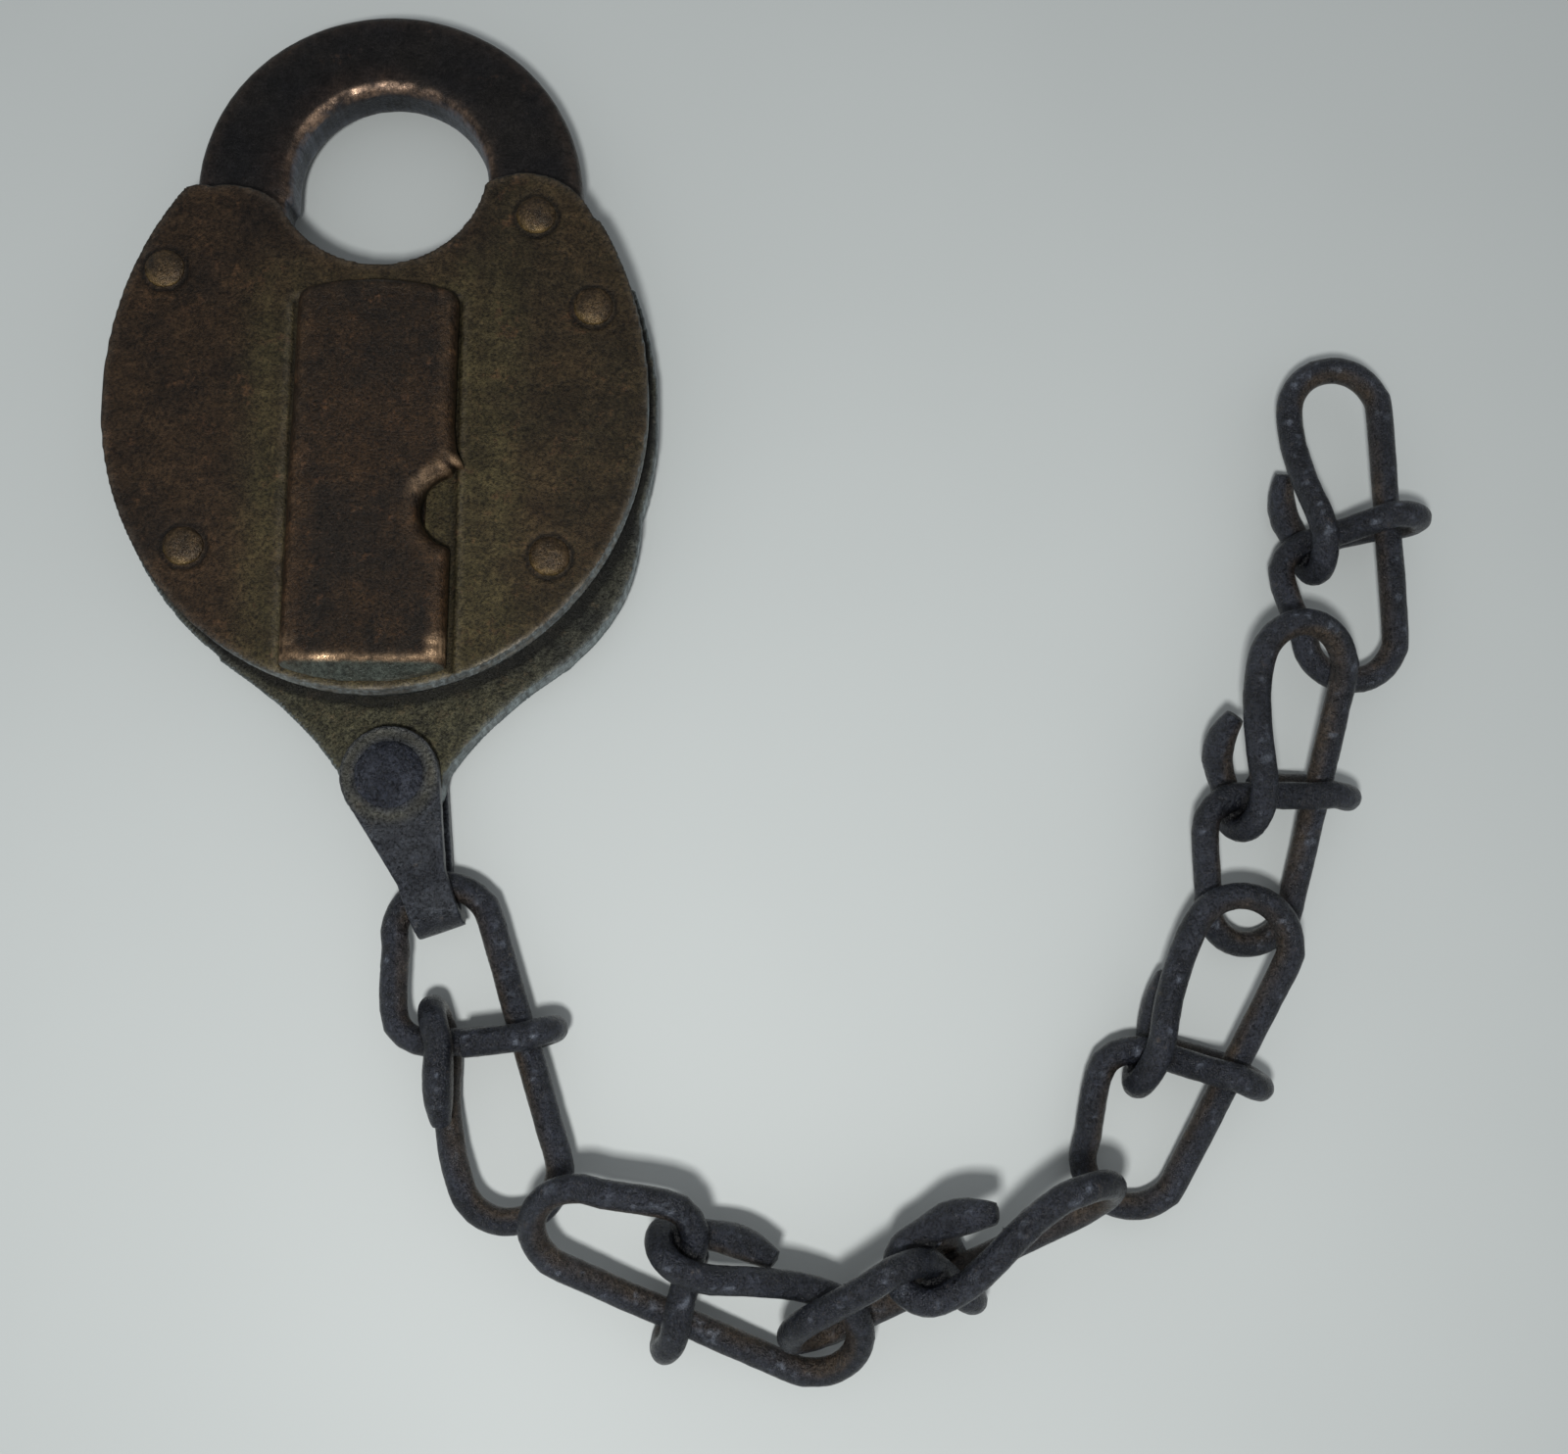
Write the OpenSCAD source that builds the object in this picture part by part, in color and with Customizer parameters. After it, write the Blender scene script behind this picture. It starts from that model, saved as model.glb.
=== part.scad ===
// Antique railroad padlock: riveted plate case, flat bow shackle, sliding keyhole
// cover, lever mechanism, folded hanger and a chain of six weldless wire links.
// The lock lies on its back. The origin is the middle of the back plate's rear face,
// on the widest line of the case. +X is to the right, +Y towards the shackle and
// +Z out of the front. All sizes are in millimetres.

/* [Case] */
// Width of the case on its widest line
case_w = 60; // [56:0.5:74]
// Height of the case below its widest line
case_low = 33; // [31:0.5:42]
// Half height of the upper oval, which the shoulders cut short
case_high = 36.5; // [35:0.5:45]
// Thickness of the back plate
back_t = 2.6; // [2:0.1:4]
// Thickness of the front plate
front_t = 3.2; // [2.6:0.1:4]
// Thickness of the frame's lower flange, which carries the tail
flange_t = 4.0; // [3.8:0.1:5]
// How far the flange stands out beyond the front plate
flange_out = 0.9; // [0:0.1:2]
// How far the rim above the flange is set back from the front plate
rim_in = 0.8; // [0.2:0.1:1.5]
// Wall of the frame around the works
frame_wall = 3.0; // [2.4:0.1:4]

/* [Shackle] */
// Outside radius of the bow
bow_out = 22; // [20:0.1:22.5]
// Inside radius of the bow
bow_in = 11; // [10:0.1:12]
// Height of the bow's centre above the widest line
bow_y = 26.4; // [25:0.1:28]
// How far the inside circle sits above the outside one
bow_lift = 1.2; // [0:0.1:2]
// Thickness of the shackle
shackle_t = 6.2; // [5:0.1:7]
// Rounding of the bow's edges
bow_round = 1.7; // [0.6:0.1:2.5]
// Opening angle of the shackle
shackle_open = 90; // [45:5:95]

/* [Keyhole cover] */
// Width of the cover
cover_w = 17.6; // [14:0.1:18]
// Thickness of the cover
cover_t = 2.6; // [1.8:0.1:3.5]
// Rounding of the cover's top edges
cover_round = 1.6; // [0.4:0.1:1.8]
// Rounding of the cover's upper corners
cover_corner = 1.8; // [0.2:0.1:3]
// Slant of the loose cover in its channel, in degrees
cover_tilt = 0.8; // [0:0.1:1]
// Depth of the cover's channel
channel_depth = 0.4; // [0.3:0.05:0.8]
// Travel of the cover down its channel
cover_travel = 16; // [8:0.5:16]
// Radius of the thumb notch
notch_r = 4.1; // [3:0.1:5]

/* [Rivets] */
// Radius of the case rivets' shanks
rivet_r = 1.4; // [1:0.1:1.6]
// Radius of the case rivets' heads
rivet_head_r = 2.4; // [2:0.1:2.8]
// Height of the case rivets' heads
rivet_head_h = 0.9; // [0.4:0.1:1.2]

/* [Hanger] */
// Distance of the hanger rivet below the case's bottom edge
tail_drop = 8.3; // [7.5:0.1:12]
// Radius of the tail's round end
tail_r = 5.8; // [5:0.1:8]
// Thickness of the folded strap
strap_t = 1.9; // [1.2:0.1:2.2]
// Distance from the hanger rivet to the wire in the fold
strap_l = 13.7; // [12:0.1:18]
// Radius of the hanger rivet's shank
hanger_rivet_r = 2.4; // [1.8:0.1:3]

/* [Chain] */
// Diameter of the chain wire
wire_d = 3.3; // [2.6:0.1:3.3]
// Radius of the drawn-out tip of a link's hook
tip_r = 1.1; // [0.4:0.1:1.2]
// Length of a link between the wire centres
link_l = 36.8; // [35:0.1:38]

/* [Fits] */
// Gap between plates and moving pieces
play = 0.25; // [0.15:0.05:0.35]
// Radial gap of a turning or sliding pin
pin_play = 0.08; // [0.03:0.01:0.1]
// Radial gap of a driven pin or rivet
rivet_play = 0.02; // [0.01:0.01:0.05]

/* [Hidden] */
$fn = 72;
eps = 0.01;
far = 200;

// Heights of the stack
frame_z = back_t;
flange_z = frame_z + flange_t;
works_h = shackle_t + 2 * play;
front_z = frame_z + works_h;
face_z = front_z + front_t;

// Shackle pivot and the circles that the toe runs on
leg_x = (bow_out + bow_in) / 2;
pivot = [leg_x + 0.6, bow_y - 4.8];
toe_out_r = pivot[0] + bow_out - 0.1;
toe_in_r = pivot[0] + bow_in + 0.4;
toe_y = 6;
heel_r = (bow_out - bow_in) / 2 + 0.6;
swing_gap = 0.4;
latch_y = toe_y + 5.2;
latch_h = 4.2;
latch_depth = 3.4;

// Throat between the shoulders
throat = [-0.5, bow_y + 1.3];
throat_r = bow_in + 0.9;
throat_wall = 2.8;

// Shoulders of the case: centre and radius of each round
shoulder_line = 21.5;
shoulders = [
    [[-leg_x - 0.7, 16.6], 8.5],
    [[-leg_x - 3.8, 20.9], 4.2],
    [[leg_x - 0.7, 18.6], 8.4]
];

// Case rivets: direction from the centre and distance in from the edge
case_rivets = [[20, 4.9], [153.5, 3.5], [217, 4.8], [320, 5.0]];
boss_r = rivet_r + 1.6;

// Keyhole, its post and the cover's channel
key_y = 3.5;
key_r = 3.4;
bit_w = 2.2;
bit_l = 6.6;
post_r = 1.5;
channel_w = cover_w + 1.3;
channel_x = -0.25;
channel_top = 11.6;
cover_top = 13.1;
cover_arc = 29;
cover_z = face_z + play;
cover_end = 0.9;
foot_w = 12;
stud_r = 1.4;
stud_y = -8.5;
stud_head_r = 2.6;
stud_head_h = 0.8;
washer_t = 0.4;
notch = [cover_w / 2 + 0.8, -13.3];
thorn = [cover_w / 2 + 1.3, -8.2];

// Bolt and levers
bolt_t = 1.8;
bolt_z = frame_z + play;
bolt_throw = 3.0;
bolt_tip_x = pivot[0] - toe_in_r + 2.9;
bolt_tail_x = 11.5;
bolt_h = latch_h - 2 * play;
bolt_body = [7.2, 11.4];
talon_r = 5.2;
stump = [6, 9.4];
stump_r = 1.1;
lever_gap = 0.25;
lever_t = (works_h - 2 * play - bolt_t) / 3 - lever_gap;
lever_r = 3.0;
lever_post_xy = [15.5, -3.5];
lever_post_r = 1.6;
lever_swing = 4;
slot_r = stump_r + 0.35;

// Tail, strap and hanger rivet
tail_x = 1.9;
hanger = [tail_x, -case_low - tail_drop];
tail_slope = 0.6;
tail_curve = 0.035;
tail_rise = 13;
cheek_r = 20.8;
cheek = [8.2, cheek_r - case_low + 0.2];
strap_yaw = -71.5;
strap_end_w = 5.2;
strap_head_r = 5.4;
strap_gap = flange_t + 0.3;
strap_mid_z = frame_z + flange_t / 2;
hanger_head_r = 4.0;
hanger_head_h = 1.1;

// Chain wire: one bend after another, in the link's own frame
wire_r = wire_d / 2;
wrap = 2 * wire_r + 0.1;
half_w = 5.3;
knot_x = 16;
wire_sides = 12;
tip_steps = 6;
leaf_wide = 0.18;
leaf_deep = 0.25;

// Places of the links: X and Y of the near loop's end from the hanger rivet, height of
// its wire, then yaw, pitch and roll
link_places = [
    [4.2, -11.9, 4.8, -73, 1, 180],
    [16.6, -45.7, 10.3, -24.5, -6.5, 32.5],
    [43.1, -59.1, 8.1, 24.5, 6, 70],
    [78.2, -46.2, 2.2, 62.5, 10.5, -0.5],
    [93.9, -18.4, 2.5, 77.5, 13, 16],
    [108, 11.3, 4.6, 91, 2, -1.5]
];

// How far the end of each link's hook leans outwards
hook_leans = [0, 0, 0, 0, 1.2, 0.9];

// ---------- Shared outlines ----------

// Oval of the case, grown by g
module oval(g = 0) {
    polygon([for (t = [0:4:356])
        [(case_w / 2 + g) * cos(t), ((sin(t) > 0 ? case_high : case_low) + g) * sin(t)]]);
}

module at_throat(r) {
    translate(throat) circle(r);
}

// Outline of the plates, grown by g, with the shoulders and the throat
module plate_outline(g = 0) {
    difference() {
        intersection() {
            oval(g);
            union() {
                translate([-far / 2, -far]) square([far, far + shoulder_line]);
                for (s = shoulders) translate(s[0]) circle(s[1] + g);
            }
        }
        at_throat(throat_r - g);
    }
}

// Half width of the tail at a height y above the hanger rivet
function tail_half(y) = tail_r + tail_slope * y + tail_curve * y * y;

// Flare between the tail's round end and the flange
module flare_outline() {
    translate(hanger) polygon(concat(
        [for (y = [0:1:tail_rise]) [tail_half(y), y]],
        [for (y = [tail_rise:-1:0]) [-tail_half(y), y]]));
}

function rivet_place(i) =
    let (a = case_rivets[i][0], d = case_rivets[i][1])
    [(case_w / 2 - d) * cos(a), ((sin(a) > 0 ? case_high : case_low) - d) * sin(a)];

module at_rivets() {
    for (i = [0:len(case_rivets) - 1]) translate(rivet_place(i)) children();
}

// Ring around the shackle pivot in which the toe travels
module toe_path(gap) {
    intersection() {
        translate(pivot) difference() {
            circle(toe_out_r + gap);
            circle(toe_in_r - gap);
        }
        translate([-far, toe_y - gap]) square([far + pivot[0] - heel_r, far]);
    }
}

// Room for the works inside the frame
module works_outline() {
    difference() {
        intersection() {
            oval(-frame_wall - rim_in);
            translate([-far / 2, -far]) square([far, far + pivot[1] - heel_r]);
        }
        at_rivets() circle(boss_r);
    }
    at_throat(throat_r + throat_wall + play);
    toe_path(swing_gap);
    translate([pivot[0] - toe_in_r, pivot[1] - heel_r - 1])
        square([toe_in_r - 2.2, heel_r - 2.8]);
}

// Lip of the front plate around the bottom of the throat
module throat_lip() {
    difference() {
        intersection() {
            at_throat(throat_r + throat_wall);
            plate_outline();
        }
        toe_path(swing_gap);
        heel_outline();
    }
}

// Room for the heel and for the leg as it swings over the right shoulder
module heel_outline() {
    translate(pivot) circle(heel_r + swing_gap);
    translate([pivot[0] - heel_r - swing_gap, pivot[1] - heel_r + 0.3])
        square([far, far]);
}

// Stack of offset layers: a slab with its upper edges rounded by r
module rounded_top(h, r, layers = 5) {
    linear_extrude(h - r + eps) children();
    for (i = [0:layers - 1])
        let (a0 = 90 * i / layers, a1 = 90 * (i + 1) / layers)
        translate([0, 0, h - r + r * sin(a0)])
            linear_extrude(r * (sin(a1) - sin(a0)) + (i < layers - 1 ? eps : 0))
                offset(delta = -r * (1 - cos((a0 + a1) / 2))) children();
}

// Rivet head: a low dome on the plane z = 0
module dome(r, h) {
    ball = (r * r + h * h) / (2 * h);
    rotate_extrude() intersection() {
        translate([0, h - ball]) circle(ball);
        square([r, h]);
    }
}

// ---------- Case ----------

module front_plate() {
    color("#5a4a3c") difference() {
        union() {
            translate([0, 0, front_z]) linear_extrude(front_t) plate_outline();
            translate([0, 0, frame_z]) linear_extrude(works_h + eps) throat_lip();
        }
        translate([channel_x - channel_w / 2, -far, face_z - channel_depth])
            cube([channel_w, far + channel_top, far]);
        at_rivets() cylinder(r = rivet_r + rivet_play, h = far);
        translate(pivot) cylinder(r = rivet_r + rivet_play, h = far);
        translate([0, key_y]) {
            cylinder(r = key_r, h = far);
            translate([-bit_w / 2, -bit_l]) cube([bit_w, bit_l, far]);
        }
        for (y = [stud_y, stud_y - cover_travel])
            translate([0, y]) cylinder(r = stud_r + pin_play, h = far);
        translate([-stud_r - pin_play, stud_y - cover_travel])
            cube([2 * (stud_r + pin_play), cover_travel, far]);
    }
}

module body_frame() {
    color("#6b6a60") difference() {
        union() {
            translate([0, 0, frame_z]) {
                linear_extrude(flange_t) plate_outline();
                linear_extrude(flange_t) intersection() {
                    plate_outline(flange_out);
                    translate([-far / 2, -far]) square([far, far + shoulder_line]);
                }
                translate(cheek) cylinder(r = cheek_r, h = flange_t);
                translate(hanger) cylinder(r = tail_r, h = flange_t);
                linear_extrude(flange_t) flare_outline();
            }
            translate([0, 0, frame_z]) linear_extrude(works_h) plate_outline(-rim_in);
        }
        translate([0, 0, frame_z - eps]) linear_extrude(works_h + 2 * eps) {
            works_outline();
            heel_outline();
        }
        at_rivets() cylinder(r = rivet_r + rivet_play, h = far);
        translate(hanger) cylinder(r = hanger_rivet_r + rivet_play, h = far);
    }
}

module back_plate() {
    color("#55504a") difference() {
        linear_extrude(back_t) plate_outline();
        translate([0, 0, -eps]) {
            at_rivets() cylinder(r = rivet_r + rivet_play, h = far);
            translate(pivot) cylinder(r = rivet_r + rivet_play, h = far);
            translate([0, key_y]) cylinder(r = post_r + rivet_play, h = far);
            translate(lever_post_xy) cylinder(r = lever_post_r + rivet_play, h = far);
        }
    }
}

// Rivet through the whole case, filed flush at the back
module through_rivet() {
    color("#8a6f3c") {
        cylinder(r = rivet_r, h = face_z);
        translate([0, 0, face_z]) dome(rivet_head_r, rivet_head_h);
    }
}

module case_rivet(i) {
    translate(rivet_place(i)) through_rivet();
}

module shackle_rivet() {
    translate(pivot) through_rivet();
}

// ---------- Shackle ----------

module shackle_outline() {
    difference() {
        union() {
            intersection() {
                translate([0, bow_y]) circle(bow_out);
                translate([-far, bow_y]) square([2 * far, far]);
            }
            translate([-bow_out, bow_y - 1.4]) square([bow_out - bow_in, 1.4]);
            intersection() {
                toe_path(-0.3);
                translate([-far, toe_y]) square([far, bow_y - toe_y]);
            }
            translate([bow_in, pivot[1]]) square([bow_out - bow_in, bow_y - pivot[1]]);
            translate(pivot) circle(heel_r);
        }
        translate([0, bow_y + bow_lift]) circle(bow_in);
        translate([-bow_in, bow_y - 1.4]) square([2 * bow_in, 1.4 + bow_lift]);
        translate([pivot[0] - toe_in_r - latch_depth, latch_y - latch_h / 2])
            square([far, latch_h] - [far - 12, 0]);
    }
}

module shackle() {
    half = shackle_t / 2;
    color("#3b3330") translate([0, 0, frame_z + play + half]) difference() {
        union() {
            rounded_top(half, bow_round) shackle_outline();
            mirror([0, 0, 1]) rounded_top(half, bow_round) shackle_outline();
        }
        translate([pivot[0], pivot[1], -far / 2])
            cylinder(r = rivet_r + pin_play, h = far);
    }
}

// Leaf spring under the heel, which throws the shackle open
module shackle_spring() {
    color("#8b8f93") translate([pivot[0], pivot[1], bolt_z]) linear_extrude(shackle_t)
        polygon([
            [-6.7, -9.6], [-3.1, -7.8], [-0.1, -7.1], [3.2, -7.8], [3.3, -7.4],
            [-0.1, -6.7], [-3.1, -7.4], [-6.9, -9.2]
        ]);
}

// ---------- Keyhole cover ----------

module cover_outline() {
    difference() {
        intersection() {
            union() {
                offset(r = cover_corner) offset(delta = -cover_corner) intersection() {
                    translate([-cover_w / 2, -far]) square([cover_w, far + cover_top]);
                    translate([0, cover_top - cover_arc]) circle(cover_arc, $fn = 180);
                }
                polygon([[cover_w / 2, -3.6], [cover_w / 2 + 0.35, -6.4], thorn,
                    [0, -11], [0, -3.6]]);
            }
            oval(-cover_end);
        }
        translate(notch) circle(notch_r);
    }
}

module keyhole_cover() {
    lean = 38;
    color("#54422f") rotate(-cover_tilt) {
        difference() {
            translate([0, 0, cover_z]) rounded_top(cover_t, cover_round) cover_outline();
            translate([-far / 2, -case_low + cover_end, cover_z])
                rotate([-lean, 0, 0]) translate([0, -far, 0]) cube([far, far, far]);
        }
        translate([-foot_w / 2, stud_y - 14, face_z - channel_depth + play])
            cube([foot_w, 28, channel_depth + eps]);
    }
}

// Stud that holds the cover through the slot in the front plate
module cover_stud() {
    top = face_z - channel_depth + play;
    head_z = front_z - play - washer_t - stud_head_h;
    color("#9a9a9a") translate([0, stud_y, head_z]) {
        cylinder(r = stud_r, h = top - head_z);
        cylinder(r = stud_head_r, h = stud_head_h);
    }
}

// Bow washer under the plate, which keeps the cover where it is put
module cover_spring() {
    color("#b0a060") translate([0, stud_y, front_z - play - washer_t]) difference() {
        translate([-3.4, -3, 0]) cube([6.8, 6, washer_t]);
        translate([0, 0, -eps]) cylinder(r = stud_r + pin_play, h = 1);
    }
}

// ---------- Works ----------

module key_post() {
    color("#777777") translate([0, key_y, 0]) cylinder(r = post_r, h = face_z - 1);
}

// Bolt, drawn back: its head faces the notch in the toe
module bolt() {
    color("#8c7a46") translate([0, 0, bolt_z]) {
        linear_extrude(bolt_t) difference() {
            polygon([
                [bolt_tip_x, latch_y - bolt_h / 2], [bolt_tip_x + 4.6, latch_y - bolt_h / 2],
                [bolt_tip_x + 5.2, bolt_body[0]],
                [bolt_tail_x, bolt_body[0]], [bolt_tail_x, bolt_body[1]],
                [bolt_tip_x + 6.2, bolt_body[1]], [bolt_tip_x + 5.2, latch_y + bolt_h / 2],
                [bolt_tip_x, latch_y + bolt_h / 2]
            ]);
            translate([0, key_y]) circle(talon_r);
        }
        translate(stump) cylinder(r = stump_r, h = works_h - 2 * play);
    }
}

// Leaf spring that steadies the bolt
module bolt_spring() {
    boss = rivet_place(0);
    color("#8b8f93") translate([0, 0, bolt_z]) linear_extrude(bolt_t) polygon([
        [6, 6.8], [6, 6.4], [11.1, 6.5], [15.1, 8.2], boss + [-2.7, -1.8],
        boss + [-2.8, -1.4], [15, 8.6], [11, 6.9]
    ]);
}

module lever_post() {
    color("#777777") translate(lever_post_xy)
        cylinder(r = lever_post_r, h = front_z - play);
}

// Height of lever i, and the slanted way of the stump as lever and bolt move together
function lever_z(i) = bolt_z + bolt_t + lever_gap + i * (lever_t + lever_gap);
function turned(v, a) = [v[0] * cos(a) - v[1] * sin(a), v[0] * sin(a) + v[1] * cos(a)];
slot_start = stump;
slot_end = lever_post_xy + turned(stump - [bolt_throw, 0] - lever_post_xy, -lever_swing);

// Lever i: a pierced plate on the post, with a slanted gate for the bolt's stump
module lever(i) {
    run = slot_end - slot_start;
    p = lever_post_xy;
    color("#a8904c") translate([0, 0, lever_z(i)]) linear_extrude(lever_t) difference() {
        union() {
            translate(p) circle(lever_r);
            polygon([p + [lever_r, 0], p + [-1, 6], p + [-6.5, 15.6], p + [-16, 15.6],
                p + [-17, 9.4], p + [-11, 2.6], p + [-9, -1.2], p + [-0.5, -lever_r]]);
        }
        translate(p) circle(lever_post_r + pin_play);
        translate([0, key_y]) circle(talon_r);
        translate(slot_start) circle(slot_r);
        translate(slot_end) circle(slot_r);
        translate(slot_start) rotate(atan2(run[1], run[0]))
            translate([0, -slot_r]) square([norm(run), 2 * slot_r]);
    }
}

// Leaf spring of lever i, held at the frame's boss
module lever_spring(i) {
    boss = rivet_place(0);
    color("#8b8f93") translate([0, 0, lever_z(i)]) linear_extrude(lever_t) polygon([
        [13.3, 4.9], [16.1, 4.2], boss + [-2.3, -2.1], boss + [-2.6, -1.8],
        [16, 4.6], [13.5, 5.2]
    ]);
}

// ---------- Hanger ----------

// Plan of the strap: a round head that tapers to the fold
module strap_plan(h) {
    end = strap_end_w / 2;
    cylinder(r = strap_head_r, h = h);
    linear_extrude(h) polygon([[1.4, strap_head_r - 0.2], [strap_l - 2, end + 0.1],
        [2 * strap_l, end], [2 * strap_l, -end], [strap_l - 2, -end - 0.1],
        [1.4, -strap_head_r + 0.2]]);
}

module hanger_strap() {
    outer = strap_gap / 2 + strap_t;
    color("#4d5157") translate([hanger[0], hanger[1], strap_mid_z]) rotate(strap_yaw)
    difference() {
        intersection() {
            union() {
                translate([-far / 2, -far / 2, -outer])
                    cube([far / 2 + strap_l, far, 2 * outer]);
                translate([strap_l, far / 2, 0]) rotate([90, 0, 0])
                    cylinder(r = outer, h = far);
            }
            translate([0, 0, -outer]) strap_plan(2 * outer);
        }
        translate([-far / 2, -far / 2, -strap_gap / 2])
            cube([far / 2 + strap_l, far, strap_gap]);
        translate([strap_l, far / 2, 0]) rotate([90, 0, 0])
            cylinder(r = strap_gap / 2, h = far);
        translate([0, 0, -far / 2]) cylinder(r = hanger_rivet_r + pin_play, h = far);
    }
}

module hanger_rivet() {
    outer = strap_gap / 2 + strap_t;
    top = strap_mid_z + outer + 0.05;
    bottom = strap_mid_z - outer - 0.05;
    color("#3f444b") translate(hanger) {
        translate([0, 0, bottom]) cylinder(r = hanger_rivet_r, h = top - bottom);
        translate([0, 0, top]) dome(hanger_head_r, hanger_head_h);
        translate([0, 0, bottom - 0.35]) cylinder(r = hanger_head_r - 0.6, h = 0.35);
    }
}

// ---------- Chain ----------

// Points of a bend of radius r about c, from angle a0 to a1, in the plane u, v
function bend(c, r, a0, a1, n, u, v) =
    [for (i = [0:n]) let (a = a0 + (a1 - a0) * i / n) c + r * cos(a) * u + r * sin(a) * v];

ex = [1, 0, 0];
ey = [0, 1, 0];
ez = [0, 0, 1];

// The wire of a link: the cross wire wraps the bar, and the far loop's end hooks over
// the elbow. Both ends return underneath, and the hook's end lies against the far loop.
function wire_route(lean) = let (
    hook = bend([knot_x + 0.1, 3.2, 0.05], wrap, 80, 280, 7, ex, ez)) concat(
    [[knot_x + 1.4, 1.0, 0.1 - wrap]],
    bend([knot_x + 2.6, -half_w, 0], wrap, -90, 90, 6, -ey, ez),
    [[knot_x + 2.1, -3.4, 3.2], [knot_x + 1.3, -0.2, 1.3], [knot_x + 0.5, 3.2, 0],
     [knot_x - 0.4, 5.6, -0.3], [knot_x - 2.8, 7.3, -0.3], [knot_x - 6.6, 6.7, 0]],
    bend([half_w, 0, 0], half_w, 90, 270, 8, ex, ey),
    [[link_l / 2, -half_w, 0]],
    bend([link_l - half_w, 0, 0], half_w, -90, 90, 8, ex, ey),
    [[link_l - half_w - 4, half_w, 0.8], [knot_x + 6.5, 4.7, 2.5], [knot_x + 3, 3.7, 3.35]],
    [for (i = [0:7]) hook[i] + lean * max(0, (i - 3) / 4) * [0, 0.8, -0.12]],
    [[knot_x + 3.6, 4.1 + 1.6 * lean, -3.3], [knot_x + 6.4, 4.9 + 1.3 * lean, -2.5],
     [knot_x + 8.9, 5.4 + 0.5 * lean, -1.45]]);

// Smooth curve through the points, with n steps from each to the next
function smooth(p, n) =
    let (q = concat([2 * p[0] - p[1]], p, [2 * p[len(p) - 1] - p[len(p) - 2]]))
    concat([for (i = [1:len(q) - 3], k = [0:n - 1])
        let (t = k / n, a = q[i - 1], b = q[i], c = q[i + 1], d = q[i + 2])
        0.5 * (2 * b + (c - a) * t + (2 * a - 5 * b + 4 * c - d) * t * t
            + (3 * b - 3 * c + d - a) * t * t * t)],
        [p[len(p) - 1]]);

function unit(v) = v / norm(v);

// Tangent of a route at point i
function tangent(p, i) = unit(p[min(i + 1, len(p) - 1)] - p[max(i - 1, 0)]);

// A side direction carried along the route, so that the tube never twists
function carried(p) = [
    for (i = 0, s = unit(cross(tangent(p, 0), [0.3, 0.5, 0.8])); i < len(p);
        i = i + 1, s = i < len(p) ? unit(s - (s * tangent(p, i)) * tangent(p, i)) : s) s];

// Swell of the hook's flattened end, k points before its tip
function leaf(k) = k < tip_steps ? sin(180 * (k + 0.5) / tip_steps) : 0;

// Radius of wire of radius r at k points before its flattened tip
function drawn(r, k) = (1 + leaf_wide * leaf(k))
    * (k < tip_steps ? tip_r + (r - tip_r) * sin(90 * k / tip_steps) : r);

// Round wire of radius r swept along the points p
module wire(p, r) {
    s = carried(p);
    n = wire_sides;
    last = len(p) - 1;
    polyhedron(
        points = [for (i = [0:last], k = [0:n - 1])
            let (t = tangent(p, i), u = s[i], v = cross(t, u), a = 360 * k / n)
            let (q = drawn(r, last - i) * (cos(a) * u + sin(a) * v))
            p[i] + [q[0], q[1], q[2] * (1 + leaf_deep * leaf(last - i))]],
        faces = concat(
            [[for (k = [n - 1:-1:0]) k]],
            [for (i = [0:last - 1], k = [0:n - 1])
                [i * n + k, i * n + (k + 1) % n, (i + 1) * n + (k + 1) % n, (i + 1) * n + k]],
            [[for (k = [0:n - 1]) last * n + k]]));
}

module link(i) {
    place = link_places[i];
    color("#4a4442") translate([hanger[0] + place[0], hanger[1] + place[1], place[2]])
        rotate([0, 0, place[3]]) rotate([0, -place[4], 0]) rotate([place[5], 0, 0])
            wire(smooth(wire_route(hook_leans[i]), 2), wire_r);
}

front_plate();
body_frame();
back_plate();
shackle();
shackle_rivet();
case_rivet(0);  // case_rivet_1
case_rivet(1);  // case_rivet_2
case_rivet(2);  // case_rivet_3
case_rivet(3);  // case_rivet_4
keyhole_cover();
cover_stud();
cover_spring();
key_post();
bolt();
bolt_spring();
lever_post();
lever(0);  // lever_1
lever(1);  // lever_2
lever(2);  // lever_3
lever_spring(0);  // lever_spring_1
lever_spring(1);  // lever_spring_2
lever_spring(2);  // lever_spring_3
shackle_spring();
hanger_strap();
hanger_rivet();
link(0);  // link_1
link(1);  // link_2
link(2);  // link_3
link(3);  // link_4
link(4);  // link_5
link(5);  // link_6
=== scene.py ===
import itertools

import bpy
import numpy as np
from mathutils import Matrix, Vector


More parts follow.
